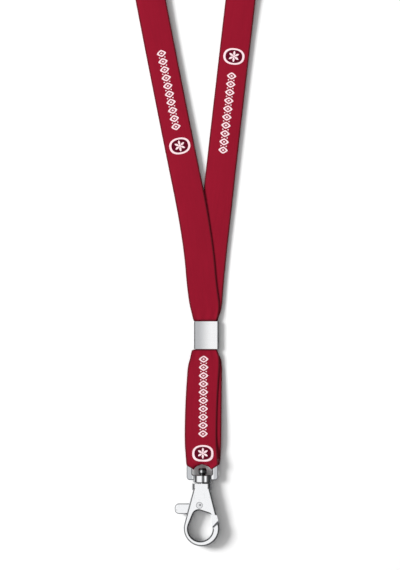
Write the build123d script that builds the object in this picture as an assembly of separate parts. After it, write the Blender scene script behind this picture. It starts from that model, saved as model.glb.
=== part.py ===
from build123d import *
import math
import os

# Lanyard laid flat: a woven neck ribbon, a folded metal crimp, and a swivel trigger hook.
# Row frame: +Y runs from the hook to the neck, +X to the right, +Z up from the table at z = 0.
# The origin is on the crimp's back face, in line with the hook's swivel axis.

# Ribbon
ribbon_width = 15.0
ribbon_thick = 0.8

# Crimp: one folded sheet-metal band round three layers of ribbon
crimp_sheet = 0.5
crimp_length = 13.8
crimp_centre_x = 2.0
crimp_bore_width = 11.4
crimp_corner = 0.9
crimp_seam = 0.3
crimp_layers = 3

# Swivel eye
eye_width = 15.8
eye_bar = 2.6
eye_thick = 2.6
eye_bottom_y = -72.4
eye_height = 11.6
eye_corner = 1.6
eye_inner_corner = 0.6
eye_side = 2.9
eye_edge = 0.6
hub_width = 9.4
hub_thick = 7.2
hub_corner = 3.3
hub_length = 3.8
hub_round = 0.5

# Swivel rivet
shank_diameter = 3.0
swivel_clearance = 0.05
ball_diameter = 4.6
ball_height = 3.3
hub_gap = 0.1
shank_grip = 5.0

# Hook body
collar_width = 9.8
collar_length = 3.2
collar_gap = 0.5
collar_corner = 2.4
collar_x = -0.4
collar_overlap = 1.4
body_thick = 6.8
edge_round = 1.1

# Gate lever, its pin and its spring
gate_thick = 3.0
gate_side_clearance = 0.15
gate_hub_radius = 2.3
tab_thick = 2.2
pin_x = -1.5
pin_y = -84.8
pin_diameter = 2.6
pin_clearance = 0.05
rivet_head = 3.4
rivet_head_rise = 0.2
spring_wire = 0.4
spring_gap = 0.12
spring_turns = 3
spring_pitch = 0.36

# Cloth fold at the eye
fold_gap = 0.3
fold_side_clearance = 0.5
flex_y = -57.0
flex_gap = 1.6
flex_stack_gap = 0.1
tail_inset = 0.6
fold_reach = 4.0

# Bow of the hook: an outer circle, a smaller one for the hole, and the mouth that the gate closes
bow_x = -0.4
bow_y = -96.4
bow_radius = 9.0
hole_radius = 6.0
hole_centre = (-0.9, -96.6)
hole_top_left = (-1.8, -90.3)
hole_top_left_radius = 2.8
hole_top_right = (2.9, -90.2)
hole_top_right_radius = 1.2
neck_width = 8.0
neck_x = -0.3
mouth_top_left = (2.4, -89.0)
mouth_top_right = (10.0, -90.1)
mouth_tip_right = (10.0, -91.6)
mouth_tip_left = (2.4, -99.8)
mouth_clearance = 0.2
gate_end_thick = 5.0
gate_tip_chamfer = 0.9
slot_top_y = -80.9
slot_end_y = -90.3
tab_reach = 12.4
tab_top = 0.8
tab_bottom = -4.6
tab_corner = 2.2
tab_edge = 0.73
link_width = 3.4
link_end = (6.6, -90.6)

# A line in a hull is drawn as a sliver this thick, and a bore's cutter starts this far outside.
hull_sliver = 0.02
cutter_overrun = 1.0

swivel_z = max(hub_thick / 2, body_thick / 2 + rivet_head_rise)
eye_top_y = eye_bottom_y + eye_height
eye_inside_width = eye_width - 2 * eye_side
bar_y = eye_top_y - eye_bar / 2
hub_top_y = eye_bottom_y + eye_bar
collar_top_y = hub_top_y - hub_length - collar_gap
collar_end_y = collar_top_y - collar_length
shank_end_y = collar_top_y - shank_grip
spring_radius = pin_diameter / 2 + spring_gap + spring_wire / 2
spring_outer_radius = spring_radius + spring_wire / 2
spring_height = (spring_turns - 1) * spring_pitch + spring_wire
spring_z = swivel_z + gate_thick / 2 - spring_gap - spring_height / 2
layer_z = [crimp_sheet + ribbon_thick * (0.5 + i) for i in range(crimp_layers)]
rear_z, middle_z, front_z = layer_z
edge_z = ribbon_width / 2
crimp_half = crimp_length / 2

# The neck loop's route, from the crimp up the left leg, round the neck and down the right leg.
neck_route = [
    (crimp_centre_x, 0.0, front_z),
    (crimp_centre_x, 10.0, front_z),
    (-0.25, 24.0, front_z),
    (-1.55, 41.0, front_z),
    (-5.0, 63.0, front_z),
    (-11.0, 92.0, front_z),
    (-22.5, 150.0, front_z),
    (-29.0, 184.0, 3.6),
    (-37.0, 222.0, edge_z),
    (-47.0, 268.0, edge_z),
    (-58.5, 322.0, edge_z),
    (-57.5, 368.0, edge_z),
    (-27.0, 395.0, edge_z),
    (12.0, 394.0, edge_z),
    (39.0, 365.0, edge_z),
    (39.0, 322.0, edge_z),
    (31.0, 268.0, edge_z),
    (25.5, 222.0, edge_z),
    (21.0, 184.0, 3.2),
    (17.0, 150.0, middle_z),
    (10.3, 92.0, middle_z),
    (7.1, 63.0, middle_z),
    (4.6, 41.0, middle_z),
    (2.95, 24.0, middle_z),
    (crimp_centre_x, 10.0, middle_z),
    (crimp_centre_x, 0.0, middle_z),
]
arc_share = 0.45


def route_radii(points):
    """Each corner's arc radius: a share of the shorter run over the tangent of half the turn."""
    corners = [Vector(*p) for p in points]
    radii = []
    for a, b, c in zip(corners, corners[1:], corners[2:]):
        turn = math.radians((b - a).get_angle(c - b))
        shorter = min((b - a).length, (c - b).length)
        radii.append(arc_share * shorter / math.tan(turn / 2))
    return radii


def route_wire(points):
    return FilletPolyline(*points, radius=route_radii(points))


def cross_section(centre, tangent, across, width):
    """A ribbon's section: width along across, thickness square to it and to the tangent."""
    plane = Plane(origin=centre, x_dir=across, z_dir=tangent)
    return plane * Rectangle(width, ribbon_thick)


def smooth(a, b, x):
    """0 before a, 1 after b, with level ends."""
    t = min(max((x - a) / (b - a), 0.0), 1.0)
    return t * t * (3 - 2 * t)


def ribbon_through(stations):
    """A plain ribbon solid ruled through its sections: (centre, tangent, across, width) each."""
    return loft([cross_section(*station) for station in stations], ruled=True)


# Neck loop
gather_end = 20.0
gather_start = crimp_half + 0.4
gathered_width = crimp_bore_width - 2 * (crimp_corner - crimp_sheet)
leg_steps = 10
twist_steps = 12
neck_steps = 20
twist_start = 178.0
twist_length = 90.0
neck_wire = route_wire(neck_route)
neck_length = neck_wire.length


def roll_at(distance):
    """The ribbon's roll: flat at both crimp ends, on its edge round the neck."""
    from_end = min(distance, neck_length - distance)
    return 90 * smooth(twist_start, twist_start + twist_length, from_end)


def width_at(distance_from_crimp):
    gathered = 1 - smooth(gather_start, gather_end, distance_from_crimp)
    return ribbon_width + (gathered_width - ribbon_width) * gathered


def neck_station(distance):
    centre = neck_wire.position_at(distance, position_mode=PositionMode.LENGTH)
    tangent = neck_wire.tangent_at(distance, position_mode=PositionMode.LENGTH)
    side = tangent.cross(Vector(0, 0, 1)).normalized()
    upward = side.cross(tangent)
    roll = math.radians(roll_at(distance))
    across = side * math.cos(roll) + upward * math.sin(roll)
    from_end = min(distance, neck_length - distance)
    return centre, tangent, across, width_at(from_end)


def neck_stretch(start, end, steps, near_crimp=()):
    """One stretch of the neck loop between two distances along it."""
    even = [start + (end - start) * i / steps for i in range(steps + 1)]
    return ribbon_through([neck_station(d) for d in sorted({*even, *near_crimp})])


def left_leg():
    return neck_stretch(0, twist_start, leg_steps, (gather_start, gather_end))


def left_twist():
    return neck_stretch(twist_start, twist_start + twist_length, twist_steps)


def neck_arc():
    return neck_stretch(
        twist_start + twist_length, neck_length - twist_start - twist_length, neck_steps
    )


def right_twist():
    end = neck_length - twist_start
    return neck_stretch(end - twist_length, end, twist_steps)


def right_leg():
    near_crimp = (neck_length - gather_end, neck_length - gather_start)
    return neck_stretch(neck_length - twist_start, neck_length, leg_steps, near_crimp)


# Drop loop: crimp to eye
# Stations down each fall: (x, y, share of the way from the crimp's layer to the eye's, width).
front_fall_route = [
    (crimp_centre_x, 0.0, 0.0, gathered_width),
    (crimp_centre_x, -gather_start, 0.0, gathered_width),
    (0.5, -12.0, 0.12, 14.0),
    (0.1, -17.5, 0.25, ribbon_width),
    (-0.6, -30.0, 0.52, ribbon_width),
    (-1.0, -44.0, 0.82, ribbon_width),
    (-0.4, flex_y + flex_gap / 2, 1.0, ribbon_width),
]
rear_fall_route = [
    (crimp_centre_x, crimp_half - tail_inset, 0.0, gathered_width),
    (crimp_centre_x, -gather_start, 0.0, gathered_width),
    (1.7, -12.0, 0.12, 14.0),
    (1.7, -17.5, 0.25, ribbon_width),
    (1.6, -30.0, 0.52, ribbon_width),
    (1.4, -44.0, 0.82, ribbon_width),
    (0.4, flex_y + flex_gap / 2, 1.0, ribbon_width),
]
flex_offset = (ribbon_thick + flex_stack_gap) / 2


def fall(route, crimp_z, eye_z):
    """A flat stretch hung from the crimp, its height running from the crimp's layer to the eye's."""
    centres = [Vector(x, y, crimp_z + (eye_z - crimp_z) * share) for x, y, share, _ in route]
    stations = []
    for i, (centre, step) in enumerate(zip(centres, route)):
        before, after = centres[max(i - 1, 0)], centres[min(i + 1, len(centres) - 1)]
        straight = i in (0, 1, len(centres) - 1)
        tangent = Vector(0, -1, 0) if straight else (after - before).normalized()
        across = tangent.cross(Vector(0, 0, 1)).normalized()
        stations.append((centre, tangent, across, step[3]))
    return ribbon_through(stations)


def front_fall():
    return fall(front_fall_route, front_z, swivel_z + flex_offset)


def rear_fall():
    return fall(rear_fall_route, rear_z, swivel_z - flex_offset)


def teardrop(bar_radius, half_stack, top_y):
    """Side outline round the eye's bar: a circle closed by straight sides that meet the stack."""
    round_bar = Pos(bar_y, swivel_z) * Circle(bar_radius)
    stack = Pos(top_y, swivel_z) * Rectangle(hull_sliver, 2 * half_stack)
    return make_hull((round_bar + stack).edges())


def eye_fold():
    """The cloth's turn round the eye's top bar, narrowed where it passes through the eye."""
    top_y = flex_y - flex_gap / 2
    inner_radius = eye_thick / 2 + fold_gap
    skin = teardrop(inner_radius + ribbon_thick, ribbon_thick + flex_stack_gap / 2, top_y)
    hollow = teardrop(inner_radius, flex_stack_gap / 2, top_y)
    side = Plane(origin=(0, 0, 0), x_dir=(0, 1, 0), z_dir=(1, 0, 0))
    fold = extrude(side * (skin - hollow), amount=ribbon_width / 2, both=True)
    inside = eye_inside_width / 2 - fold_side_clearance
    wide = ribbon_width / 2
    shoulder_y = eye_top_y + fold_gap
    plan = Polyline(
        (-inside, bar_y - fold_reach), (inside, bar_y - fold_reach), (inside, shoulder_y),
        (wide, shoulder_y), (wide, top_y), (-wide, top_y), (-wide, shoulder_y),
        (-inside, shoulder_y), close=True,
    )
    return fold & extrude(make_face(plan), amount=body_thick + swivel_z)


# Crimp
def crimp_band():
    """Sheet metal folded round the layers, its two edges meeting in a seam at the back."""
    bore_height = crimp_layers * ribbon_thick
    centre_z = crimp_sheet + bore_height / 2
    face = Plane(origin=(crimp_centre_x, 0, centre_z), x_dir=(1, 0, 0), z_dir=(0, -1, 0))
    outer = RectangleRounded(
        crimp_bore_width + 2 * crimp_sheet, bore_height + 2 * crimp_sheet, crimp_corner
    )
    bore = RectangleRounded(crimp_bore_width, bore_height, crimp_corner - crimp_sheet)
    seam = Pos(0, -centre_z) * Rectangle(crimp_seam, 2 * crimp_sheet)
    return extrude(face * (outer - bore - seam), amount=crimp_half, both=True)


# Swivel
def face_rims(plate, axis=Axis.Z):
    """The edges round a plate's two end faces along the axis."""
    faces = plate.faces().sort_by(axis)
    return faces[0].edges() + faces[-1].edges()


def eye_loop():
    """The eye's frame: a rounded rectangle with a window for the strap."""
    centre_y = eye_bottom_y + eye_height / 2
    outer = RectangleRounded(eye_width, eye_height, eye_corner)
    window_height = eye_height - 2 * eye_bar
    window = RectangleRounded(eye_inside_width, window_height, eye_inner_corner)
    frame = extrude(Pos(0, centre_y, swivel_z) * (outer - window), amount=eye_thick / 2, both=True)
    return fillet(face_rims(frame), eye_edge)


def along_swivel(y):
    """A plane square to the swivel axis, facing the hook."""
    return Plane(origin=(0, y, swivel_z), x_dir=(1, 0, 0), z_dir=(0, -1, 0))


def swivel_eye():
    frame = eye_loop()
    hub_plan = along_swivel(hub_top_y) * RectangleRounded(hub_width, hub_thick, hub_corner)
    hub = extrude(hub_plan, amount=hub_length)
    hub = fillet(face_rims(hub, Axis.Y), hub_round)
    bore_radius = shank_diameter / 2 + swivel_clearance
    bore = extrude(
        along_swivel(hub_top_y + cutter_overrun) * Circle(bore_radius),
        amount=hub_length + 2 * cutter_overrun,
    )
    return frame + hub - bore


def swivel_rivet():
    """A ball head inside the eye and a shank down through the hub into the collar."""
    head_bottom = hub_top_y + hub_gap
    ball_centre = head_bottom + ball_height / 2
    ball = Pos(0, ball_centre, swivel_z) * Sphere(ball_diameter / 2)
    slab = Pos(0, ball_centre, swivel_z) * Box(2 * ball_diameter, ball_height, 2 * ball_diameter)
    shank_length = ball_centre - shank_end_y
    shank = extrude(along_swivel(ball_centre) * Circle(shank_diameter / 2), amount=shank_length)
    return (ball & slab) + shank


# Hook
def hook_outline():
    """Straight sides from the collar, tangent to the bow's circle."""
    bow = Pos(bow_x, bow_y) * Circle(bow_radius)
    neck = Pos(neck_x, collar_end_y + collar_overlap) * Rectangle(neck_width, hull_sliver)
    return make_hull((bow + neck).edges())


def hook_hole():
    round_end = Pos(*hole_centre) * Circle(hole_radius)
    left = Pos(*hole_top_left) * Circle(hole_top_left_radius)
    right = Pos(*hole_top_right) * Circle(hole_top_right_radius)
    return make_hull((round_end + left + right).edges())


def mouth_plan(inset):
    """The region between the cheek's end and the nose's bevel, drawn in by inset at both."""
    lower = [(x, y - inset) for x, y in (mouth_top_left, mouth_top_right)]
    upper = [(x, y + inset) for x, y in (mouth_tip_right, mouth_tip_left)]
    return make_face(Polyline(*lower, *upper, close=True))


def mid_plate(plan, thick):
    """A flat plate of the hook's layer, centred on the swivel's plane."""
    return extrude(Pos(0, 0, swivel_z) * plan, amount=thick / 2, both=True)


def cheek_slot():
    """The slot between the cheeks, open on both sides for the gate's tab and its link."""
    height = slot_top_y - slot_end_y
    plan = Pos(pin_x, slot_end_y + height / 2) * Rectangle(4 * bow_radius, height)
    return mid_plate(plan, gate_thick + 2 * gate_side_clearance)


def hook_body():
    """Die-cast body: collar, two cheeks, and the bow down to the bevelled nose."""
    plate = mid_plate(hook_outline() - hook_hole(), body_thick)
    plate = fillet(face_rims(plate), edge_round)
    collar_profile = Pos(collar_x, 0) * RectangleRounded(collar_width, body_thick, collar_corner)
    collar_plan = along_swivel(collar_top_y) * collar_profile
    collar = extrude(collar_plan, amount=collar_length)
    shank_bore = extrude(
        along_swivel(collar_top_y + cutter_overrun) * Circle(shank_diameter / 2),
        amount=shank_grip + cutter_overrun,
    )
    mouth = mid_plate(mouth_plan(0), 2 * body_thick)
    pin_bore = Pos(pin_x, pin_y, swivel_z) * Cylinder(pin_diameter / 2, 2 * body_thick)
    return plate + collar - shank_bore - mouth - cheek_slot() - pin_bore


def gate_end():
    """The block that closes the mouth, its tip chamfered above and below where it meets the nose."""
    end = mid_plate((hook_outline() - hook_hole()) & mouth_plan(mouth_clearance), gate_end_thick)
    bevel = (Vector(*mouth_tip_right) - Vector(*mouth_tip_left)).normalized()
    straight = face_rims(end).filter_by(GeomType.LINE)
    tip_edges = [edge for edge in straight if abs(edge.tangent_at(0.5).dot(bevel)) > 0.999]
    return chamfer(tip_edges, gate_tip_chamfer)


def gate_lever():
    """Thumb tab, hub on the pin, link between the cheeks, and the end that closes the mouth."""
    hub_plan = Pos(pin_x, pin_y) * Circle(gate_hub_radius)
    link_tip = Pos(*link_end) * Circle(link_width / 2)
    link_root = Pos(pin_x, pin_y) * Circle(link_width / 2)
    link_plan = make_hull((link_tip + link_root).edges()) & hook_outline()
    link = mid_plate(link_plan - hook_hole(), gate_thick)
    hub = mid_plate(hub_plan, gate_thick)
    tab_height = tab_top - tab_bottom
    tab_plan = Pos(pin_x - tab_reach / 2, pin_y + (tab_top + tab_bottom) / 2) * RectangleRounded(
        tab_reach, tab_height, tab_corner
    )
    tab = mid_plate(tab_plan, tab_thick)
    tab = fillet(face_rims(tab), tab_edge) - mid_plate(hook_hole(), 2 * body_thick)
    bore = Pos(pin_x, pin_y, swivel_z) * Cylinder(pin_diameter / 2 + pin_clearance, 2 * body_thick)
    spring_room = Pos(pin_x, pin_y, spring_z) * Cylinder(
        spring_outer_radius + spring_gap, spring_height + 2 * spring_gap
    )
    return hub + link + gate_end() + tab - bore - spring_room


def gate_pin():
    """A riveted pin through both cheeks, its heads just proud of them."""
    shank = Pos(pin_x, pin_y, swivel_z) * Cylinder(pin_diameter / 2, body_thick)
    head_z = body_thick / 2 + rivet_head_rise / 2
    for side in (-1, 1):
        shank += Pos(pin_x, pin_y, swivel_z + side * head_z) * Cylinder(rivet_head / 2, rivet_head_rise)
    return shank


def gate_spring():
    """A torsion spring: close turns round the pin."""
    coil = None
    for turn in range(spring_turns):
        z = spring_z + (turn - (spring_turns - 1) / 2) * spring_pitch
        ring = Pos(pin_x, pin_y, z) * Torus(spring_radius, spring_wire / 2)
        coil = ring if coil is None else coil + ring
    return coil


os.makedirs("parts", exist_ok=True)
sub_parts = (
    left_leg, left_twist, neck_arc, right_twist, right_leg, front_fall, rear_fall, eye_fold,
    crimp_band, swivel_eye, swivel_rivet, hook_body, gate_lever, gate_pin, gate_spring,
)
for sub_part in sub_parts:
    export_step(sub_part(), f"parts/{sub_part.__name__}.step")
print("route radii", [round(r, 1) for r in route_radii(neck_route)])
print("neck ribbon length", round(neck_length, 1))
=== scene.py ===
import bpy
import numpy as np
from mathutils import Matrix, Vector


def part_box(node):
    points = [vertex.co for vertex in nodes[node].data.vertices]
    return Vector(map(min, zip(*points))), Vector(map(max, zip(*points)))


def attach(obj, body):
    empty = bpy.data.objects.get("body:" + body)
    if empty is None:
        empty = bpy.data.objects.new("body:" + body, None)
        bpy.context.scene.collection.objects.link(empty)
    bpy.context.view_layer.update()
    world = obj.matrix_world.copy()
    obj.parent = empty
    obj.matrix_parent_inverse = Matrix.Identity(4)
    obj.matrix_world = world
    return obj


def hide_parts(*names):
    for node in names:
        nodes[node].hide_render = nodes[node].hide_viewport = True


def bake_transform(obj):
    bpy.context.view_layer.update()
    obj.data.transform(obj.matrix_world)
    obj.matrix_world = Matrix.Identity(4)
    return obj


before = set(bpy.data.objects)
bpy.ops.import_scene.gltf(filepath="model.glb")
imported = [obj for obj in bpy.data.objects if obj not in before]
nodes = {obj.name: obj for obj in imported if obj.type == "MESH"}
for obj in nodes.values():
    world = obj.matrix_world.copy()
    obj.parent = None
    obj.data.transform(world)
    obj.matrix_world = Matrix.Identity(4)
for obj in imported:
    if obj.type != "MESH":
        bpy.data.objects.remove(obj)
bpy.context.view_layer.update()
mm = 0.001


class Wire:
    # a socket in a Paint's tree, with arithmetic that adds Math nodes
    def __init__(self, paint, socket):
        self.paint = paint
        self.socket = socket

    def math(self, operation, *others):
        inputs = {i: value for i, value in enumerate((self, *others))}
        return self.paint.make("ShaderNodeMath", {"operation": operation}, inputs)

    def __add__(self, other):
        return self.math("ADD", other)

    def __sub__(self, other):
        return self.math("SUBTRACT", other)

    def __rsub__(self, other):
        return self.paint.make("ShaderNodeMath", {"operation": "SUBTRACT"}, {0: other, 1: self})

    def __mul__(self, other):
        return self.math("MULTIPLY", other)

    __radd__ = __add__


class Paint:
    def __init__(self, name):
        self.material = bpy.data.materials.new(name)
        self.material.use_nodes = True
        self.tree = self.material.node_tree
        self.shader = self.tree.nodes["Principled BSDF"]

    def put(self, socket, value):
        if isinstance(value, Wire):
            self.tree.links.new(value.socket, socket)
        else:
            socket.default_value = value

    def make(self, kind, settings=None, inputs=None, output=0):
        node = self.tree.nodes.new(kind)
        for name, value in (settings or {}).items():
            setattr(node, name, value)
        for name, value in (inputs or {}).items():
            self.put(node.inputs[name], value)
        return Wire(self, node.outputs[output])

    def mix(self, share, first, second):
        # first * (1 - share) + second * share, as colours
        settings = {"data_type": "RGBA"}
        return self.make("ShaderNodeMix", settings, {0: share, 6: first, 7: second}, 2)

    def step(self, value, low, high):
        # 0 below low, 1 above high, between them t * t * (3 - 2 * t) of the share t of the way
        settings = {"interpolation_type": "SMOOTHSTEP"}
        return self.make("ShaderNodeMapRange", settings, {0: value, 1: low, 2: high})

    def place(self, scale=(1, 1, 1)):
        # the piece's own Object coordinates, scaled
        where = self.make("ShaderNodeTexCoord", output="Object")
        return self.make("ShaderNodeMapping", inputs={"Vector": where, "Scale": scale})

    def noise(self, vector, scale, detail, rough=0.5):
        # grey noise from 0 to 1, of this many octaves
        inputs = {"Vector": vector, "Scale": scale, "Detail": detail, "Roughness": rough}
        return self.make("ShaderNodeTexNoise", inputs=inputs)

    def bump(self, height, strength, distance):
        inputs = {"Height": height, "Strength": strength, "Distance": distance}
        return self.make("ShaderNodeBump", inputs=inputs)

    def part(self, vector, which):
        # a vector's x, y or z, by number
        return self.make("ShaderNodeSeparateXYZ", inputs={0: vector}, output=which)

    def wave(self, distance, pitch):
        # the sine of a full turn for each pitch
        return (distance * (2 * np.pi / pitch)).math("SINE")

    def paintedEdgeShade(self, strength):
        # painted shade and dark reflection on rolled edges: a share, steep where 1 - |normal's z|
        # passes a step, less on upright walls and on faces to the left
        look = paintedEdgeLook
        normal = self.make("ShaderNodeTexCoord", output="Normal")
        turned = 1 - self.part(normal, 2).math("ABSOLUTE")
        wall = self.step(turned, look["wallFrom"], look["wallTo"])
        rolled = self.step(turned, look["rollFrom"], look["rollTo"]) * (1 - wall * look["wallFade"])
        toRight = self.step(self.part(normal, 0), -look["sideways"], look["sideways"])
        return rolled * (toRight * (1 - look["leftShare"]) + look["leftShare"]) * strength

    def finish(self, **sockets):
        # each socket's name with its spaces as underscores
        for name, value in sockets.items():
            self.put(self.shader.inputs[name.replace("_", " ")], value)
        return self.material


def linear(red, green, blue):
    # a 0-255 display colour as the linear colour that a shader takes: the sRGB curve undone
    share = np.array((red, green, blue)) / 255
    light = np.where(share <= 0.04045, share / 12.92, ((share + 0.055) / 1.055) ** 2.4)
    return (*(float(x) for x in light), 1.0)


def splineLine(points, spacing):
    # the route's NURBS line as evenly spaced points, in metres
    curve = bpy.data.curves.new("route", "CURVE")
    curve.dimensions = "3D"
    curve.resolution_u = 96
    spline = curve.splines.new("NURBS")
    spline.points.add(len(points) - 1)
    for point, place in zip(spline.points, points):
        point.co = (*(c * mm for c in place), 1.0)
    spline.order_u = 3
    spline.use_endpoint_u = True
    holder = bpy.data.objects.new("route", curve)
    mesh = bpy.data.meshes.new_from_object(holder)
    fine = np.empty(len(mesh.vertices) * 3)
    mesh.vertices.foreach_get("co", fine)
    fine = fine.reshape(-1, 3)
    bpy.data.meshes.remove(mesh)
    bpy.data.objects.remove(holder)
    bpy.data.curves.remove(curve)
    return evenly(fine, spacing)


def distances(line):
    # how far along the line each point is: the sum of the steps before it
    steps = np.linalg.norm(np.diff(line, axis=0), axis=1)
    return np.concatenate(([0.0], np.cumsum(steps)))


def evenly(line, spacing):
    # the same line with its points a fixed distance apart
    along = distances(line)
    count = int(round(along[-1] / spacing)) + 1
    wanted = np.linspace(0, along[-1], count)
    return np.stack([np.interp(wanted, along, line[:, k]) for k in range(3)], axis=1)


def smooth(low, high, x):
    # 0 at low, 1 at high, level at both: t * t * (3 - 2 * t) of the share t of the way
    t = np.clip((np.asarray(x, float) - low) / (high - low), 0, 1)
    return t * t * (3 - 2 * t)


def unit(vectors):
    # each vector over its own length
    return vectors / np.linalg.norm(vectors, axis=-1, keepdims=True)


def gridFaces(rows, columns, wrapRows=False, wrapColumns=False):
    # quads between neighbouring rows and columns of a grid of points
    r = np.arange(rows if wrapRows else rows - 1)
    c = np.arange(columns if wrapColumns else columns - 1)
    r, c = (a.ravel() for a in np.meshgrid(r, c, indexing="ij"))
    nextR, nextC = (r + 1) % rows, (c + 1) % columns
    corners = (r * columns + c, r * columns + nextC, nextR * columns + nextC, nextR * columns + c)
    return np.stack(corners, axis=1)


def meshPiece(name, points, faces, material, cloth=None, smoothFaces=True):
    # points and faces as one object; cloth is each point's (along, across) in metres
    mesh = bpy.data.meshes.new(name)
    mesh.from_pydata(points.reshape(-1, 3).tolist(), [], [list(f) for f in faces])
    mesh.polygons.foreach_set("use_smooth", [smoothFaces] * len(mesh.polygons))
    if cloth is not None:
        layer = mesh.uv_layers.new(name="cloth")
        corner = np.empty(len(mesh.loops), int)
        mesh.loops.foreach_get("vertex_index", corner)
        layer.data.foreach_set("uv", cloth.reshape(-1, 2)[corner].ravel())
    mesh.materials.append(material)
    mesh.update()
    piece = bpy.data.objects.new(name, mesh)
    bpy.context.scene.collection.objects.link(piece)
    return piece


# painted edge shade: a rolled metal edge's colour is mixed towards dark, more where it faces right,
# standing in for shade and dark reflections
paintedEdgeLook = {
    "rollFrom": 0.02, "rollTo": 0.22, "wallFrom": 0.55, "wallTo": 0.95, "wallFade": 0.6,
    "sideways": 0.35, "leftShare": 0.56, "dark": linear(62, 64, 68), "strong": 0.92, "soft": 0.5,
}
clothLook = {
    "red": linear(151, 20, 44), "deepRed": linear(132, 17, 38), "selvedge": linear(96, 22, 32),
    # pressed: the colour of a painted shadow where the ribbon enters the crimp
    "crimpShadow": linear(52, 8, 16), "sheen": linear(255, 120, 140), "sheenWeight": 0.06,
    "sheenRoughness": 0.4, "shine": 0.12, "roughness": 0.72, "bump": 0.55,
    "weftPitch": 0.42 * mm, "warpPitch": 0.50 * mm, "weaveDepth": 0.05 * mm,
    "weaveTone": 0.22, "weaveHeight": 0.5,
    "cloudScale": 55, "cloudTone": 0.45, "cloudRoughness": 0.14,
    "slubScale": (70, 1100, 1), "slubTone": 0.75, "slubHeight": 0.4, "toneShift": 0.1,
    # the edges' darkening: partly the selvedge's stitching, partly painted edge shade
    "selvedgeFrom": 0.45 * mm, "selvedgeTo": 0.975 * mm, "selvedgeAndShadeTone": 0.9, "selvedgeHeight": 0.6,
    "stitchPitch": 0.9 * mm, "stitchTone": 0.08, "stitchHeight": 0.9,
    "crimpShadowFrom": 0.15 * mm, "crimpShadowTo": 1.4 * mm, "crimpShadowTone": 0.85,
}
inkLook = {
    "white": linear(244, 220, 225), "worn": linear(205, 120, 135),
    "grainScale": 2600, "grainDepth": 0.03 * mm, "bump": 0.3, "roughness": 0.55, "grainRoughness": 0.2,
    "wornFrom": 0.52, "wornTo": 0.78, "wornTone": 0.35, "patchScale": 240, "patchTone": 0.12,
}
groundLook = {
    "dark": linear(76, 4, 26), "pale": linear(98, 8, 32),
    "roughness": 0.7, "grainRoughness": 0.15, "shine": 0.1,
}
castingLook = {
    "bright": linear(236, 237, 239), "pit": linear(150, 152, 156),
    # streak: a painted dark reflection down the swivel's hub and rivet; side: a painted greyer
    # reflection at the swivel's sides
    "paintedStreak": linear(40, 41, 44), "side": linear(180, 182, 186),
    "waveScale": 160, "waveHeight": 0.7, "waveRoughness": 0.04,
    "markScale": (900, 140, 900), "markGrain": 0.65, "markHeight": 0.12,
    "scuffFrom": 0.56, "scuffTo": 0.72, "scuffTone": 0.08, "scuffRoughness": 0.10,
    "pitScale": 900, "pitFrom": 0.70, "pitTo": 0.78, "pitTone": 0.35,
    "paintedStreakX": 0.35 * mm, "paintedStreakFrom": 0.3 * mm, "paintedStreakTo": 0.95 * mm, "paintedStreakTone": 0.9,
    "paintedSideFrom": 4.9 * mm, "paintedSideTo": 5.6 * mm, "paintedSideTone": 0.85,
    "roughness": 0.09, "bump": 0.25, "depth": 0.12 * mm,
}
bandLook = {
    # dull: the colour of the painted shade towards the band's left side
    "bright": linear(243, 243, 244), "line": linear(196, 197, 199), "paintedLeftShade": linear(176, 177, 180),
    "lineScale": (40, 5200, 400), "lineGrain": 0.6, "lineTone": 0.2, "lineRoughness": 0.12,
    "markScale": 260, "scratchFrom": 0.6, "scratchTo": 0.75, "scratchTone": 0.08,
    "paintedLeftShadeFrom": 1.2 * mm, "paintedLeftShadeTo": 9.0 * mm, "paintedLeftShadeTone": 0.95, "edges": 0.95,
    "roughness": 0.17, "bump": 0.18, "depth": 0.03 * mm,
}
steelLook = {
    "light": linear(170, 171, 174), "dark": linear(120, 121, 124), "roughness": 0.28,
    "ringScale": (2500, 2500, 300), "ringRoughness": 0.12, "bump": 0.15, "depth": 0.03 * mm,
}
pinLook = {
    "light": linear(226, 227, 229), "grey": linear(185, 186, 189), "dark": linear(82, 84, 88),
    "rimFrom": 1.25 * mm, "rimTo": 1.55 * mm, "rimTone": 0.55,
    "dimple": (0.35 * mm, 0.2 * mm), "dimpleFrom": 0.25 * mm, "dimpleTo": 0.75 * mm, "dimpleTone": 0.8,
    "grainTone": 0.4, "roughness": 0.18, "grainRoughness": 0.1,
}
tableLook = {
    "light": linear(250, 250, 250), "grey": linear(245, 245, 245), "scale": 9, "roughness": 0.85,
}


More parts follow.
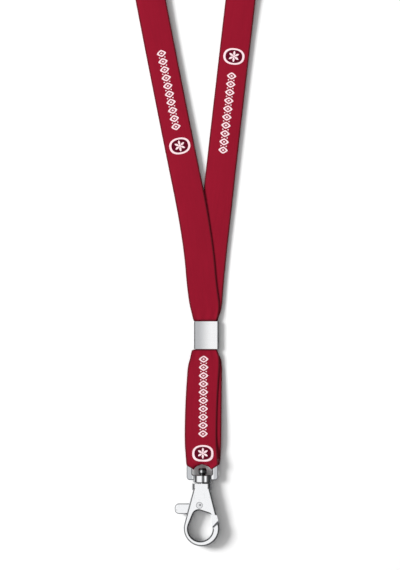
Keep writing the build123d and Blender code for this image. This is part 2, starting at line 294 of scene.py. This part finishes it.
def wovenCloth():
    # plain weave, a wave along times a wave across: red to deep red by clouds and slubs, then darker
    # with the weave, within the selvedge's width of an edge (its stitching plus painted edge shade),
    # and by a painted shadow close to the crimp
    look = clothLook
    paint = Paint("wovenRibbon")
    uv = paint.make("ShaderNodeUVMap", {"uv_map": "cloth"})
    along, across = paint.part(uv, 0), paint.part(uv, 1)
    weave = paint.wave(along, look["weftPitch"]) * paint.wave(across, look["warpPitch"])
    stitch = paint.wave(along, look["stitchPitch"])
    fromEdge = ribbon["width"] / 2 - across.math("ABSOLUTE")
    # within the selvedge's width of an edge: darker for the selvedge's stitching plus painted edge
    # shade
    onEdge = 1 - paint.step(fromEdge, look["selvedgeFrom"], look["selvedgeTo"])
    # painted shadow at the crimp's mouth: darker within a short way of the crimp's end
    fromCrimp = (paint.part(paint.place(), 1).math("ABSOLUTE") - crimpHigh.y).math("ABSOLUTE")
    crimpShadow = 1 - paint.step(fromCrimp, look["crimpShadowFrom"], look["crimpShadowTo"])
    cloudy = paint.noise(paint.place(), look["cloudScale"], 3)
    stretched = paint.make("ShaderNodeMapping", inputs={"Vector": uv, "Scale": look["slubScale"]})
    slub = paint.noise(stretched, 1.0, 3)
    depth = cloudy * look["cloudTone"] + slub * look["slubTone"] - look["toneShift"]
    tone = paint.mix(depth, look["red"], look["deepRed"])
    tone = paint.mix((weave * 0.5 + 0.5) * look["weaveTone"], tone, look["selvedge"])
    edgeTone = onEdge * (stitch * look["stitchTone"] + look["selvedgeAndShadeTone"])
    tone = paint.mix(edgeTone, tone, look["selvedge"])
    tone = paint.mix(crimpShadow * look["crimpShadowTone"], tone, look["crimpShadow"])
    edgeHeight = onEdge * (stitch * look["stitchHeight"] + look["selvedgeHeight"])
    height = weave * look["weaveHeight"] + slub * look["slubHeight"] + edgeHeight
    return paint.finish(
        Base_Color=tone, Roughness=look["roughness"] + cloudy * look["cloudRoughness"],
        Normal=paint.bump(height, look["bump"], look["weaveDepth"]),
        Sheen_Weight=look["sheenWeight"], Sheen_Roughness=look["sheenRoughness"],
        Sheen_Tint=look["sheen"], Specular_IOR_Level=look["shine"],
    )


def printInk():
    # matt white ink, redder where its grain is worn and in faint patches
    look = inkLook
    paint = Paint("printInk")
    grain = paint.noise(paint.place(), look["grainScale"], 2)
    worn = paint.step(grain, look["wornFrom"], look["wornTo"])
    patchy = paint.noise(paint.place(), look["patchScale"], 3)
    share = worn * look["wornTone"] + patchy * look["patchTone"]
    return paint.finish(
        Base_Color=paint.mix(share, look["white"], look["worn"]),
        Roughness=look["roughness"] + grain * look["grainRoughness"],
        Normal=paint.bump(grain, look["bump"], look["grainDepth"]),
    )


def medallionInk():
    # the darker ground inside the ornament's ring
    look = groundLook
    paint = Paint("groundInk")
    grain = paint.noise(paint.place(), inkLook["grainScale"], 2)
    return paint.finish(
        Base_Color=paint.mix(grain, look["dark"], look["pale"]),
        Roughness=look["roughness"] + grain * look["grainRoughness"], Specular_IOR_Level=look["shine"],
    )


def platedCasting(name, edges, swivel=False):
    # bright plating with soft waves, scuffs and pits, and painted shade on its rolled edges; the
    # swivel's also has a painted dark reflection within a short way of its line, and a painted greyer
    # reflection at its sides, far from that line
    look = castingLook
    paint = Paint(name)
    waves = paint.noise(paint.place(), look["waveScale"], 2)
    marks = paint.noise(paint.place(look["markScale"]), 1.0, 4, look["markGrain"])
    scuffs = paint.step(marks, look["scuffFrom"], look["scuffTo"])
    pits = paint.step(paint.noise(paint.place(), look["pitScale"], 2), look["pitFrom"], look["pitTo"])
    worn = pits * look["pitTone"] + scuffs * look["scuffTone"]
    tone = paint.mix(worn, look["bright"], look["pit"])
    # painted shade and dark reflection on the rolled edges
    tone = paint.mix(paint.paintedEdgeShade(edges), tone, paintedEdgeLook["dark"])
    if swivel:
        # painted reflections: a dark line near x, greyer far from it
        away = (paint.part(paint.place(), 0) - look["paintedStreakX"]).math("ABSOLUTE")
        onPaintedStreak = 1 - paint.step(away, look["paintedStreakFrom"], look["paintedStreakTo"])
        tone = paint.mix(onPaintedStreak * look["paintedStreakTone"], tone, look["paintedStreak"])
        side = paint.step(away, look["paintedSideFrom"], look["paintedSideTo"])
        tone = paint.mix(side * look["paintedSideTone"], tone, look["side"])
    rough = look["roughness"] + scuffs * look["scuffRoughness"] + waves * look["waveRoughness"]
    height = waves * look["waveHeight"] + marks * look["markHeight"]
    return paint.finish(
        Base_Color=tone, Metallic=1.0, Roughness=rough,
        Normal=paint.bump(height, look["bump"], look["depth"]),
    )


def brushedBand():
    # sheet nickel, brushed across the band in fine lines, with painted shade that darkens it towards
    # its left side
    look = bandLook
    paint = Paint("brushedBand")
    lines = paint.noise(paint.place(look["lineScale"]), 1.0, 3, look["lineGrain"])
    marks = paint.noise(paint.place(), look["markScale"], 3)
    scratch = paint.step(marks, look["scratchFrom"], look["scratchTo"])
    # painted shade: the band darkens towards its left side
    low, high = crimpLow.x + look["paintedLeftShadeFrom"], crimpLow.x + look["paintedLeftShadeTo"]
    paintedLeftShade = 1 - paint.step(paint.part(paint.place(), 0), low, high)
    worn = lines * look["lineTone"] + scratch * look["scratchTone"]
    tone = paint.mix(worn, look["bright"], look["line"])
    tone = paint.mix(paintedLeftShade * look["paintedLeftShadeTone"], tone, look["paintedLeftShade"])
    # painted shade and dark reflection on the band's rolled edges
    tone = paint.mix(paint.paintedEdgeShade(look["edges"]), tone, paintedEdgeLook["dark"])
    return paint.finish(
        Base_Color=tone, Metallic=1.0, Roughness=look["roughness"] + lines * look["lineRoughness"],
        Normal=paint.bump(lines, look["bump"], look["depth"]),
    )


def springSteel():
    # plain steel wire with fine rings of tool marks
    look = steelLook
    paint = Paint("springWire")
    rings = paint.noise(paint.place(look["ringScale"]), 1.0, 2)
    return paint.finish(
        Base_Color=paint.mix(rings, look["light"], look["dark"]), Metallic=1.0,
        Roughness=look["roughness"] + rings * look["ringRoughness"],
        Normal=paint.bump(rings, look["bump"], look["depth"]),
    )


def pinSteel():
    # the pin's steel, with a dark rim round its head and a small off-centre dimple
    look = pinLook
    paint = Paint("pinSteel")
    low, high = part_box("gate_pin")
    centre = (low + high) / 2

    def vectorMath(operation, first, second=None, output=0):
        inputs = {0: first} if second is None else {0: first, 1: second}
        return paint.make("ShaderNodeVectorMath", {"operation": operation}, inputs, output)

    def flatDistance(x, y):
        # from the upright line at x, y: the length of the way to it without its height
        away = vectorMath("SUBTRACT", paint.place(), (x, y, 0))
        return vectorMath("LENGTH", vectorMath("MULTIPLY", away, (1, 1, 0)), output=1)

    rim = paint.step(flatDistance(centre.x, centre.y), look["rimFrom"], look["rimTo"])
    fromDimple = flatDistance(centre.x + look["dimple"][0], centre.y + look["dimple"][1])
    dimple = 1 - paint.step(fromDimple, look["dimpleFrom"], look["dimpleTo"])
    grain = paint.noise(paint.place(steelLook["ringScale"]), 1.0, 2)
    tone = paint.mix(grain * look["grainTone"], look["light"], look["grey"])
    tone = paint.mix(rim * look["rimTone"] + dimple * look["dimpleTone"], tone, look["dark"])
    rough = look["roughness"] + grain * look["grainRoughness"]
    return paint.finish(Base_Color=tone, Metallic=1.0, Roughness=rough)


def tableTop():
    # pale, even board with a very faint mottle
    look = tableLook
    paint = Paint("paleTable")
    mottle = paint.noise(paint.place(), look["scale"], 3)
    tone = paint.mix(mottle, look["light"], look["grey"])
    return paint.finish(Base_Color=tone, Roughness=look["roughness"])


ribbon = {
    "width": 15 * mm, "thick": 0.6 * mm, "selvedge": 0.10 * mm, "roundness": 30, "acrossPoints": 33,
    "gatheredWidth": 10.4 * mm, "mouth": 6.95 * mm, "flareLength": 11 * mm,
    "pleatHeight": 0.7 * mm, "pleats": 1.5, "pleatPower": 0.5, "pleatRise": 2 * mm,
    "shiftFrom": 0.6 * mm, "shiftTo": 6 * mm, "hangPower": 2.2, "fineSpacing": 0.25 * mm,
    "crowding": 0.55, "ridgeAt": 0.955, "ridgeWidth": 0.022,
}
crimpLow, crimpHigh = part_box("crimp_band")
crimpX = (crimpLow.x + crimpHigh.x) / 2 / mm
eyeLow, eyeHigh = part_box("swivel_eye")
swivelZ = (eyeLow.z + eyeHigh.z) / 2 / mm
# heights of the three layers in the crimp and of the ribbon on its edge, in millimetres
frontZ, middleZ, rearZ, edgeZ = 2.5, 1.7, 0.9, 7.5

# the same points as the neck loop's solids follow, in millimetres
neckRoute = [
    (crimpX, 0.0, frontZ), (crimpX, 10.0, frontZ), (-0.25, 24.0, frontZ), (-1.55, 41.0, frontZ),
    (-5.0, 63.0, frontZ), (-11.0, 92.0, frontZ), (-22.5, 150.0, frontZ), (-29.0, 184.0, 3.6),
    (-37.0, 222.0, edgeZ), (-47.0, 268.0, edgeZ), (-58.5, 322.0, edgeZ), (-57.5, 368.0, edgeZ),
    (-27.0, 395.0, edgeZ), (12.0, 394.0, edgeZ), (39.0, 365.0, edgeZ), (39.0, 322.0, edgeZ),
    (31.0, 268.0, edgeZ), (25.5, 222.0, edgeZ), (21.0, 184.0, 3.2), (17.0, 150.0, middleZ),
    (10.3, 92.0, middleZ), (7.1, 63.0, middleZ), (4.6, 41.0, middleZ), (2.95, 24.0, middleZ),
    (crimpX, 10.0, middleZ), (crimpX, 0.0, middleZ),
]
neck = {
    "twistFrom": 178 * mm, "twistLength": 90 * mm, "tilt": 3.0, "crown": 0.25 * mm,
    "leanFrom": 30 * mm, "leanTo": 90 * mm, "crownFrom": 25 * mm, "crownTo": 60 * mm,
    "rowSpacing": 1.0 * mm, "fineRows": 14 * mm, "sprung": 0.2, "mouthShift": -0.35 * mm,
}
# the drop's middle line: the front layer down, round the eye's bar, the rear layer up
dropRoute = [
    (crimpX, 0.0, frontZ), (crimpX, -8.5, frontZ), (0.9, -13.0, 2.6), (0.4, -19.0, 2.6),
    (-0.45, -32.0, 3.15), (-0.85, -45.0, 3.8), (-0.85, -55.0, 4.15), (-0.35, -59.8, 5.0),
    (0.0, -62.4, 5.6), (0.0, -64.2, 5.3), (0.0, -64.35, 3.6), (0.1, -64.2, 1.95),
    (0.7, -62.4, 1.7), (1.15, -59.8, 2.4), (1.4, -55.0, 3.35), (1.5, -45.0, 3.15),
    (1.65, -32.0, 2.5), (1.8, -19.0, 1.85), (crimpX, -8.5, rearZ), (crimpX, 6.2, rearZ),
]
drop = {
    "width": 16 * mm, "foldWidth": 9.2 * mm, "foldFrom": 1.0 * mm, "foldTo": 3.5 * mm,
    "lobeReach": 2.5 * mm, "lobeFrom": 2.4 * mm, "lobeTo": 8.5 * mm,
    "pleatHeight": 0.3 * mm, "pleatFrom": 3 * mm, "pleatTo": 9 * mm,
    "printTop": (0.65 * mm, -10 * mm), "printFoot": (0.2 * mm, -60 * mm),
    "rowSpacing": 0.5 * mm, "sprung": 0.3, "mouthShift": -0.8 * mm,
    "bendFrom": -50 * mm, "bendTo": -61 * mm,
}


class Cloth:
    # a ribbon's middle surface: its line, and along it the half width, pleats, shift, crown and
    # hang; past the crimp it springs open by a share and flares to its full width for the rest
    def __init__(self, route, full, opening, mouthShift):
        self.line = splineLine(route, ribbon["fineSpacing"])
        self.along = distances(self.line)
        self.length = self.along[-1]
        self.tangent = unit(np.gradient(self.line, axis=0))
        past = np.abs(self.line[:, 1]) - ribbon["mouth"]
        sprung = opening * smooth(0, ribbon["shiftFrom"], past)
        spread = 1 - (1 - np.clip(past / ribbon["flareLength"], 0, 1)) ** 2
        opened = sprung + (1 - opening) * spread
        narrow = ribbon["gatheredWidth"]
        self.half = (narrow + (full - narrow) * opened) / 2
        self.pleat = ribbon["pleatHeight"] * (1 - opened) * smooth(0, ribbon["pleatRise"], past)
        self.shift = mouthShift * smooth(0, ribbon["shiftFrom"], past)
        self.shift = self.shift * (1 - smooth(ribbon["shiftFrom"], ribbon["shiftTo"], past))
        self.crown = np.zeros_like(self.along)
        self.hang = np.zeros_like(self.along)

    def face(self, across):
        # the section's two directions: across the ribbon, and out of its printed face
        self.across = across
        self.normal = unit(np.cross(across, self.tangent))
        sides = (self.half, self.pleat, self.shift, self.crown, self.hang)
        self.table = np.column_stack((self.line, self.across, self.normal, *sides))

    def at(self, along, share, lift):
        # line + across by share of the half width + out by pleats, crown and lift + shift + hang
        columns = [np.interp(along, self.along, column) for column in self.table.T]
        line, across, normal = (np.stack(columns[k:k + 3], axis=-1) for k in (0, 3, 6))
        half, pleat, shift, crown, hang = columns[9:]
        wave = (1 - np.cos(2 * np.pi * ribbon["pleats"] * share)) / 2
        pleats = pleat * wave * np.abs(share) ** ribbon["pleatPower"]
        out = pleats + crown * (0.5 - share**2) + lift
        points = line + across * (half * share)[..., None] + normal * out[..., None]
        points[..., 0] += shift
        points[..., 1] -= hang * np.abs(share) ** ribbon["hangPower"]
        return points

    def crossing(self, y, firstHalf):
        # the distance along where the line crosses y, on its first or second half
        onHalf = (self.along < self.length / 2) == firstHalf
        return self.along[np.argmin(np.where(onHalf, np.abs(self.line[:, 1] - y), np.inf))]


def neckCloth():
    # round the neck: roll is 90 degrees by the share twisted, plus a lean that ends at the twist
    cloth = Cloth(neckRoute, ribbon["width"], neck["sprung"], neck["mouthShift"])
    side = unit(np.cross(cloth.tangent, (0, 0, 1)))
    upward = np.cross(side, cloth.tangent)
    fromEnd = np.minimum(cloth.along, cloth.length - cloth.along)
    twist = smooth(neck["twistFrom"], neck["twistFrom"] + neck["twistLength"], fromEnd)
    lean = neck["tilt"] * smooth(neck["leanFrom"], neck["leanTo"], fromEnd) * (1 - twist)
    roll = np.radians(90 * twist + lean * np.where(cloth.along < cloth.length / 2, 1, -1))[:, None]
    cloth.crown = neck["crown"] * smooth(neck["crownFrom"], neck["crownTo"], fromEnd)
    cloth.face(side * np.cos(roll) + upward * np.sin(roll))
    return cloth


def dropCloth():
    # down from the crimp, round the eye's bar and back up: near the fold it narrows, its pleat
    # deepens and its edges hang lower, each by 1 - smooth() of the distance from the fold
    cloth = Cloth(dropRoute, drop["width"], drop["sprung"], drop["mouthShift"])
    fromFold = np.abs(cloth.along - cloth.along[np.argmin(cloth.line[:, 1])])
    atFold = 1 - smooth(drop["foldFrom"], drop["foldTo"], fromFold)
    cloth.half = cloth.half + (drop["foldWidth"] - drop["width"]) / 2 * atFold
    pleated = 1 - smooth(drop["pleatFrom"], drop["pleatTo"], fromFold)
    cloth.pleat = cloth.pleat + drop["pleatHeight"] * pleated
    cloth.hang = drop["lobeReach"] * (1 - smooth(drop["lobeFrom"], drop["lobeTo"], fromFold))
    cloth.face(np.broadcast_to((-1.0, 0.0, 0.0), cloth.tangent.shape))
    return cloth


def clothShell(name, cloth, along, material):
    # a closed strip: the section's top from left to right and its bottom back, carried along;
    # half the thickness is a rounded end's, plus a bell-shaped ridge near each edge
    count, crowding = ribbon["acrossPoints"], ribbon["crowding"]
    crowded, even = np.cos(np.linspace(np.pi, 0, count)), np.linspace(-1, 1, count)
    share = crowding * crowded + (1 - crowding) * even
    half = ribbon["thick"] / 2 * np.sqrt(1 - np.abs(share) ** ribbon["roundness"])
    fromRidge = (np.abs(share) - ribbon["ridgeAt"]) / ribbon["ridgeWidth"]
    half = half + ribbon["selvedge"] / 2 * np.exp(-(fromRidge**2))
    half[[0, -1]] = 0
    ring = np.concatenate((share, share[-2:0:-1]))
    lift = np.concatenate((half, -half[-2:0:-1]))
    s, v = np.meshgrid(along, ring, indexing="ij")
    points = cloth.at(s, v, np.broadcast_to(lift, s.shape))
    sides = gridFaces(len(along), len(ring), wrapColumns=True)[:, ::-1]
    top = np.arange(count)
    lower = -top % len(ring)
    cap = np.stack((top[1:-2], top[2:-1], lower[2:-1], lower[1:-2]), axis=1)
    ends = [[0, 1, lower[1]], [count - 2, count - 1, count]]
    last = (len(along) - 1) * len(ring)
    faces = sides.tolist() + cap[:, ::-1].tolist() + [end[::-1] for end in ends]
    faces += (cap + last).tolist() + (np.array(ends) + last).tolist()
    uv = np.stack((s, v * ribbon["width"] / 2), axis=-1)
    return meshPiece(name, points, faces, material, uv)


ink = {
    "above": 0.075 * mm, "groundAbove": 0.05 * mm, "below": 0.12 * mm, "spokes": 32, "count": 10,
    "pitch": 4.15 * mm, "lozenge": (1.75 * mm, 2.38 * mm), "lozengeHole": 0.60,
    "kernel": (0.48 * mm, 0.62 * mm), "dot": (0.30 * mm, 0.34 * mm), "dotAt": 1.35 * mm,
    "ring": (4.1 * mm, 5.3 * mm), "ringHole": 0.80, "petal": (1.15 * mm, 0.52 * mm),
    "petals": 6, "petalAt": 1.62 * mm, "heart": (0.5 * mm, 0.5 * mm), "overlap": 0.04,
    "lozengePower": 1.25, "ringPower": 2.3, "petalPower": 1.7, "roundPower": 2.0, "pinhole": 0.02,
}


def ovalEdge(size, power, turned):
    # points round a superellipse, |x / a|^power + |y / b|^power = 1, turned by an angle
    angle = np.linspace(0, 2 * np.pi, ink["spokes"], endpoint=False)
    c, s = np.cos(angle), np.sin(angle)
    reach = (np.abs(c / size[0]) ** power + np.abs(s / size[1]) ** power) ** (-1 / power)
    x, y = reach * c, reach * s
    along = x * np.cos(turned) - y * np.sin(turned)
    across = x * np.sin(turned) + y * np.cos(turned)
    return np.stack((along, across), axis=1)


def inkShape(
    cloth, across, centre, size,
    power=ink["roundPower"], turned=0.0, hole=ink["pinhole"], above=ink["above"],
):
    # a thin closed film on the cloth: rings over the top, down the outer edge and back below,
    # its distance across added to the print's own line
    high, low = ribbon["thick"] / 2 + above, ribbon["thick"] / 2 - ink["below"]
    rings = np.array([hole, (1 + 2 * hole) / 3, (2 + hole) / 3, 1.0, 1.0, hole])
    lift = np.array([high, high, high, high, low, low])
    flat = centre + rings[:, None, None] * ovalEdge(size, power, turned)
    along = flat[..., 0]
    share = (flat[..., 1] + across(along)) / np.interp(along, cloth.along, cloth.half)
    points = cloth.at(along, share, np.broadcast_to(lift[:, None], along.shape))
    return points.reshape(-1, 3), gridFaces(len(rings), ink["spokes"], wrapRows=True, wrapColumns=True)


def inkPiece(name, shapes, material):
    # many small films joined as one piece
    starts = np.cumsum([0] + [len(points) for points, _ in shapes])
    faces = np.concatenate([quads + start for (_, quads), start in zip(shapes, starts)])
    points = np.concatenate([points for points, _ in shapes])
    return meshPiece(name, points, faces.tolist(), material, smoothFaces=False)


def motif(cloth, chain, medallion, across):
    # a chain of outlined lozenges with dots between them, and an oval medallion with a flower
    def film(along, side, size, **shape):
        return inkShape(cloth, across, np.array((along, side)), size, **shape)

    films = []
    pointed, ringed = ink["lozengePower"], ink["ringPower"]
    for i in range(ink["count"]):
        along = chain + (i + 0.5) * ink["pitch"]
        films.append(film(along, 0, ink["lozenge"], power=pointed, hole=ink["lozengeHole"]))
        films.append(film(along, 0, ink["kernel"], power=pointed))
        for side in (-1, 1) if i else ():
            films.append(film(along - ink["pitch"] / 2, side * ink["dotAt"], ink["dot"]))
    films.append(film(medallion, 0, ink["ring"], power=ringed, hole=ink["ringHole"]))
    inner = tuple(size * (ink["ringHole"] + ink["overlap"]) for size in ink["ring"])
    ground = film(medallion, 0, inner, power=ringed, above=ink["groundAbove"])
    for turn in np.arange(ink["petals"]) * 2 * np.pi / ink["petals"]:
        along, side = medallion + np.cos(turn) * ink["petalAt"], np.sin(turn) * ink["petalAt"]
        films.append(film(along, side, ink["petal"], power=ink["petalPower"], turned=turn))
    films.append(film(medallion, 0, ink["heart"]))
    return films, [ground]


print("cloth")
clothPaint, inkPaint, groundPaint = wovenCloth(), printInk(), medallionInk()
neckWay, dropWay = neckCloth(), dropCloth()
rows = np.arange(neck["fineRows"], neckWay.length - neck["fineRows"], neck["rowSpacing"])
nearCrimp = np.arange(0, neck["fineRows"], ribbon["fineSpacing"])
rows = np.concatenate((nearCrimp, rows, neckWay.length - nearCrimp[::-1]))
neckRibbon = clothShell("neckRibbon", neckWay, rows, clothPaint)
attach(neckRibbon, "strap")
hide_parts("left_leg", "left_twist", "neck_arc", "right_twist", "right_leg")
rows = np.arange(0, dropWay.length, drop["rowSpacing"])
dropRibbon = clothShell("dropRibbon", dropWay, rows, clothPaint)
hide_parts("front_fall", "rear_fall", "eye_fold")
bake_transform(dropRibbon)

print("print")


def onDrop(along):
    # how far across the drop's print is: the cloth's own x less that of the print's straight line
    way = dropWay.line
    (footX, footY), (topX, topY) = drop["printFoot"], drop["printTop"]
    straight = np.interp(way[:, 1], (footY, topY), (footX, topX))
    return np.interp(along, dropWay.along, way[:, 0] + dropWay.shift - straight)


# each motif: its cloth, where the chain and the medallion cross y, on which half, and its line
printed = (
    ("neck", neckWay, 102.2 * mm, 94.6 * mm, True, lambda s: 0.2 * mm),
    ("neck", neckWay, 131.7 * mm, 139.5 * mm, False, lambda s: 0.0),
    ("drop", dropWay, -10.0 * mm, -59.0 * mm, True, onDrop),
)
motifs = [
    (motif(cloth, cloth.crossing(chain, half), cloth.crossing(medallion, half), across), where)
    for where, cloth, chain, medallion, half, across in printed
]
for where in ("neck", "drop"):
    for k, (kind, material) in enumerate((("Print", inkPaint), ("PrintGround", groundPaint))):
        shapes = [shape for films, owner in motifs if owner == where for shape in films[k]]
        piece = inkPiece(where + kind, shapes, material)
        if where == "neck":
            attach(piece, "strap")
        else:
            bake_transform(piece)

print("metal")
swivelPlating = platedCasting("swivelPlating", paintedEdgeLook["strong"], swivel=True)
finishes = {
    "crimp_band": brushedBand(), "swivel_eye": swivelPlating, "swivel_rivet": swivelPlating,
    "hook_body": platedCasting("bodyPlating", paintedEdgeLook["strong"]),
    "gate_lever": platedCasting("gatePlating", paintedEdgeLook["soft"]),
    "gate_pin": pinSteel(), "gate_spring": springSteel(),
}
for name, material in finishes.items():
    for slot in nodes[name].material_slots:
        slot.link = "OBJECT"
        slot.material = material

view = {"x": -1.2 * mm, "y": 25.1 * mm, "height": 1.3, "seen": 285 * mm, "sensor": 36.0}
studio = {
    "lean": 0.24, "darkBelow": 0.70, "brightAbove": 0.93, "dark": 0.12, "bright": 1.06,
    "keyPlace": (-1.86, 0.60, 1.72), "keySize": 0.85, "keyPower": 74,
    "tableHalf": 3.0, "tableZ": -0.2 * mm,
}


def makeStage():
    # a square table under the whole lanyard
    half = studio["tableHalf"]
    corners = ((-half, -half), (half, -half), (half, half), (-half, half))
    points = np.array([(*corner, studio["tableZ"]) for corner in corners])
    meshPiece("table", points, [(0, 1, 2, 3)], tableTop())


def makeCamera():
    # straight down: lens = sensor * distance to the hook's middle height / the length seen
    data = bpy.data.cameras.new("camera")
    data.sensor_width = view["sensor"]
    data.lens = view["sensor"] * (view["height"] - swivelZ * mm) / view["seen"]
    camera = bpy.data.objects.new("camera", data)
    camera.location = (view["x"], view["y"], view["height"])
    bpy.context.scene.collection.objects.link(camera)
    bpy.context.scene.camera = camera


def makeLight(name, place, size, power):
    # a soft square lamp aimed at the view's middle, left out of mirror images
    data = bpy.data.lights.new(name, "AREA")
    data.size = size
    data.energy = power
    lamp = bpy.data.objects.new(name, data)
    aim = Vector((view["x"], view["y"], 0)) - Vector(place)
    lamp.matrix_world = Matrix.Translation(place) @ aim.to_track_quat("-Z", "Y").to_matrix().to_4x4()
    lamp.visible_camera = False
    lamp.visible_glossy = False
    bpy.context.scene.collection.objects.link(lamp)


def makeWorld():
    # a pale studio above and dark walls round it, higher on the right: height minus a share of x
    world = bpy.data.worlds.new("studio")
    world.use_nodes = True
    tree = world.node_tree
    way = tree.nodes.new("ShaderNodeTexCoord")
    tilt = tree.nodes.new("ShaderNodeVectorMath")
    tilt.operation = "DOT_PRODUCT"
    tilt.inputs[1].default_value = (-studio["lean"], 0, 1)
    ramp = tree.nodes.new("ShaderNodeMapRange")
    ramp.interpolation_type = "SMOOTHSTEP"
    for k, value in enumerate(("darkBelow", "brightAbove", "dark", "bright"), 1):
        ramp.inputs[k].default_value = studio[value]
    tree.links.new(way.outputs["Generated"], tilt.inputs[0])
    tree.links.new(tilt.outputs["Value"], ramp.inputs[0])
    tree.links.new(ramp.outputs[0], tree.nodes["Background"].inputs[1])
    tree.nodes["Background"].inputs[0].default_value = (1, 1, 1, 1)
    bpy.context.scene.world = world


print("stage")
makeStage()
makeCamera()
makeWorld()
makeLight("key", studio["keyPlace"], studio["keySize"], studio["keyPower"])
bpy.context.scene.view_settings.view_transform = "Standard"
